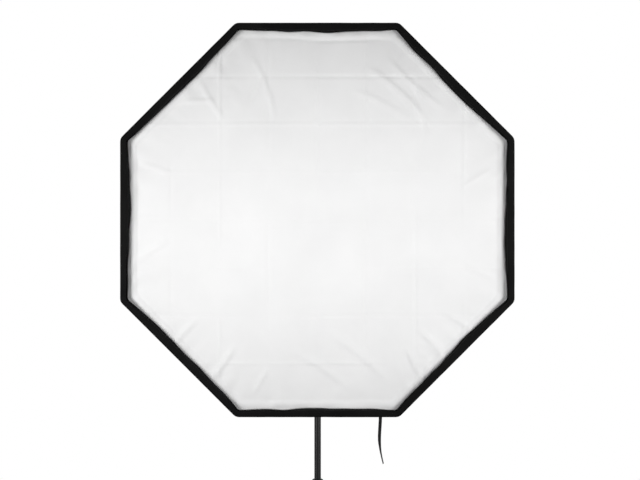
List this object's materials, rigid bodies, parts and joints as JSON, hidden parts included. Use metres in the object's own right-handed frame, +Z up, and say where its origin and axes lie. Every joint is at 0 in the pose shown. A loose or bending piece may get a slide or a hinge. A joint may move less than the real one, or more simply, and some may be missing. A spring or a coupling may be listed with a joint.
{
  "type": "octagonal studio softbox on stand",
  "caption": "Octagonal studio softbox with a recessed white diffuser, on a tilting flash bracket and a folding telescopic stand.",
  "frame": {"origin": "on the floor, under the middle of the object's footprint", "axes": "+Z up; the softbox faces -Y; +X to the right of someone who looks at its white front"},
  "size_m": [1.2, 0.8864, 2.395],
  "materials": {
    "tube_coat": "satin black coat",
    "nylon_black": "matt",
    "bright_steel": "bright",
    "ring_alloy": "black anodised",
    "rubber_black": "matt",
    "shell_cloth": "woven nylon, silver lining inside",
    "white_cloth": "translucent white"
  },
  "bodies": {
    "stand_base": {"base_tube": "tube_coat", "base_tube_plug": "nylon_black", "lower_hub": "nylon_black", "hub_pins": "bright_steel", "lower_clamp": "nylon_black"},
    "runner": {"leg_collar": "nylon_black"},
    "runner_knob": {"leg_collar_knob": "nylon_black"},
    "lower_clamp_knob": {"lower_clamp_knob": "nylon_black"},
    "mid_section": {"mid_tube": "tube_coat", "upper_clamp": "nylon_black"},
    "upper_clamp_knob": {"upper_clamp_knob": "nylon_black"},
    "top_section": {"top_tube": "tube_coat", "spigot": "bright_steel"},
    "knuckle": {"tilt_knuckle": "nylon_black"},
    "spigot_lock": {"spigot_lock_screw": "nylon_black"},
    "tilt_handle": {"tilt_bolt": "nylon_black"},
    "bracket": {"bracket_frame": "nylon_black", "bayonet_insert": "ring_alloy", "retaining_ring": "ring_alloy", "retaining_screws": "bright_steel", "lower_jaw": "nylon_black", "lower_jaw_pad": "rubber_black", "guide_posts": "bright_steel", "top_bridge": "nylon_black"},
    "clamp_jaw": {"upper_jaw": "nylon_black", "upper_jaw_pad": "rubber_black"},
    "clamp_screw": {"clamp_screw": "nylon_black"},
    "latch": {"release_latch": "nylon_black"},
    "softbox": {"speed_ring": "ring_alloy", "rods": "bright_steel", "rod_tip_caps": "nylon_black", "shell_panel_1": "shell_cloth", "shell_panel_2": "shell_cloth", "shell_panel_3": "shell_cloth", "shell_panel_4": "shell_cloth", "shell_panel_5": "shell_cloth", "shell_panel_6": "shell_cloth", "shell_panel_7": "shell_cloth", "shell_panel_8": "shell_cloth", "front_binding": "shell_cloth", "lip_flap": "shell_cloth", "front_diffuser": "white_cloth", "inner_baffle": "white_cloth", "baffle_bands": "shell_cloth", "rear_cuff": "shell_cloth", "tie_strap": "shell_cloth"},
    "rotation_lock": {"rotation_lock_screw": "nylon_black"},
    "brace_1": {"brace_1": "tube_coat"},
    "leg_1": {"leg_1": "tube_coat", "leg_pins_1": "bright_steel", "foot_1": "rubber_black"},
    "brace_2": {"brace_2": "tube_coat"},
    "leg_2": {"leg_2": "tube_coat", "leg_pins_2": "bright_steel", "foot_2": "rubber_black"},
    "brace_3": {"brace_3": "tube_coat"},
    "leg_3": {"leg_3": "tube_coat", "leg_pins_3": "bright_steel", "foot_3": "rubber_black"}
  },
  "joints": [
    {"name": "leg_fold", "type": "hinge", "parent": "stand_base", "child": "brace_1", "pos_m": [0, 0.11042, 0.0625], "axis": [-1, 0, 0], "range_deg": [0, 54]},
    {"name": "brace_2_fold", "type": "hinge", "parent": "stand_base", "child": "brace_2", "pos_m": [0.02598, 0.15542, 0.0625], "axis": [0.5, -0.866, 0], "range_deg": [0, 54]},
    {"name": "brace_3_fold", "type": "hinge", "parent": "stand_base", "child": "brace_3", "pos_m": [-0.02598, 0.15542, 0.0625], "axis": [0.5, 0.866, 0], "range_deg": [0, 54]},
    {"name": "leg_1_swing", "type": "hinge", "parent": "brace_1", "child": "leg_1", "pos_m": [0, -0.11599, 0.20953], "axis": [1, 0, 0], "range_deg": [0, 108]},
    {"name": "leg_2_swing", "type": "hinge", "parent": "brace_2", "child": "leg_2", "pos_m": [0.22206, 0.26863, 0.20953], "axis": [-0.5, 0.866, 0], "range_deg": [0, 108]},
    {"name": "leg_3_swing", "type": "hinge", "parent": "brace_3", "child": "leg_3", "pos_m": [-0.22206, 0.26863, 0.20953], "axis": [-0.5, -0.866, 0], "range_deg": [0, 108]},
    {"name": "runner_slide", "type": "slide", "parent": "stand_base", "child": "runner", "axis": [0, 0, 1], "range_m": [0, 0.24513]},
    {"name": "runner_knob_turn", "type": "hinge", "parent": "runner", "child": "runner_knob", "pos_m": [0, 0.16842, 0.37757], "axis": [0, 1, 0], "continuous": true},
    {"name": "lower_clamp_knob_turn", "type": "hinge", "parent": "stand_base", "child": "lower_clamp_knob", "pos_m": [0.03, 0.14042, 0.812], "axis": [1, 0, 0], "continuous": true},
    {"name": "mid_extend", "type": "slide", "parent": "stand_base", "child": "mid_section", "axis": [0, 0, 1], "range_m": [0, 0.56]},
    {"name": "upper_clamp_knob_turn", "type": "hinge", "parent": "mid_section", "child": "upper_clamp_knob", "pos_m": [0.028, 0.14042, 0.904], "axis": [1, 0, 0], "continuous": true},
    {"name": "top_extend", "type": "slide", "parent": "mid_section", "child": "top_section", "axis": [0, 0, 1], "range_m": [-0.62, 0.02]},
    {"name": "head_pan", "type": "hinge", "parent": "top_section", "child": "knuckle", "pos_m": [0, 0.14042, 1.59295], "axis": [0, 0, 1], "continuous": true},
    {"name": "spigot_lock_turn", "type": "hinge", "parent": "knuckle", "child": "spigot_lock", "pos_m": [-0.017, 0.14042, 1.619], "axis": [-1, 0, 0], "continuous": true},
    {"name": "tilt_handle_turn", "type": "hinge", "parent": "knuckle", "child": "tilt_handle", "pos_m": [0, 0.14042, 1.669], "axis": [1, 0, 0], "range_deg": [-40, 100]},
    {"name": "head_tilt", "type": "hinge", "parent": "knuckle", "child": "bracket", "pos_m": [0, 0.14042, 1.669], "axis": [-1, 0, 0], "range_deg": [-20, 90]},
    {"name": "jaw_slide", "type": "slide", "parent": "bracket", "child": "clamp_jaw", "axis": [0, 0, 1], "range_m": [-0.02, 0.01]},
    {"name": "clamp_screw_turn", "type": "hinge", "parent": "clamp_jaw", "child": "clamp_screw", "pos_m": [0, 0.15542, 1.887], "axis": [0, 0, 1], "range_deg": [-3600, 1800]},
    {"name": "latch_press", "type": "slide", "parent": "bracket", "child": "latch", "axis": [0, 0, 1], "range_m": [0, 0.005], "stiffness_N_per_m": 400, "springref_m": -0.002},
    {"name": "box_turn", "type": "hinge", "parent": "bracket", "child": "softbox", "pos_m": [0, 0.09142, 1.795], "axis": [0, -1, 0], "continuous": true},
    {"name": "rotation_lock_turn", "type": "hinge", "parent": "softbox", "child": "rotation_lock", "pos_m": [-0.089, 0.09542, 1.795], "axis": [-1, 0, 0], "continuous": true}
  ],
  "couplings": [
    {"joint": "brace_2_fold", "follows": "leg_fold", "ratio": 1},
    {"joint": "brace_3_fold", "follows": "leg_fold", "ratio": 1},
    {"joint": "leg_1_swing", "follows": "leg_fold", "ratio": 2},
    {"joint": "leg_2_swing", "follows": "leg_fold", "ratio": 2},
    {"joint": "leg_3_swing", "follows": "leg_fold", "ratio": 2},
    {"joint": "runner_slide", "follows": "leg_fold", "m_per_rad": 0.26009},
    {"joint": "clamp_screw_turn", "follows": "jaw_slide", "rad_per_m": 3141.6}
  ]
}
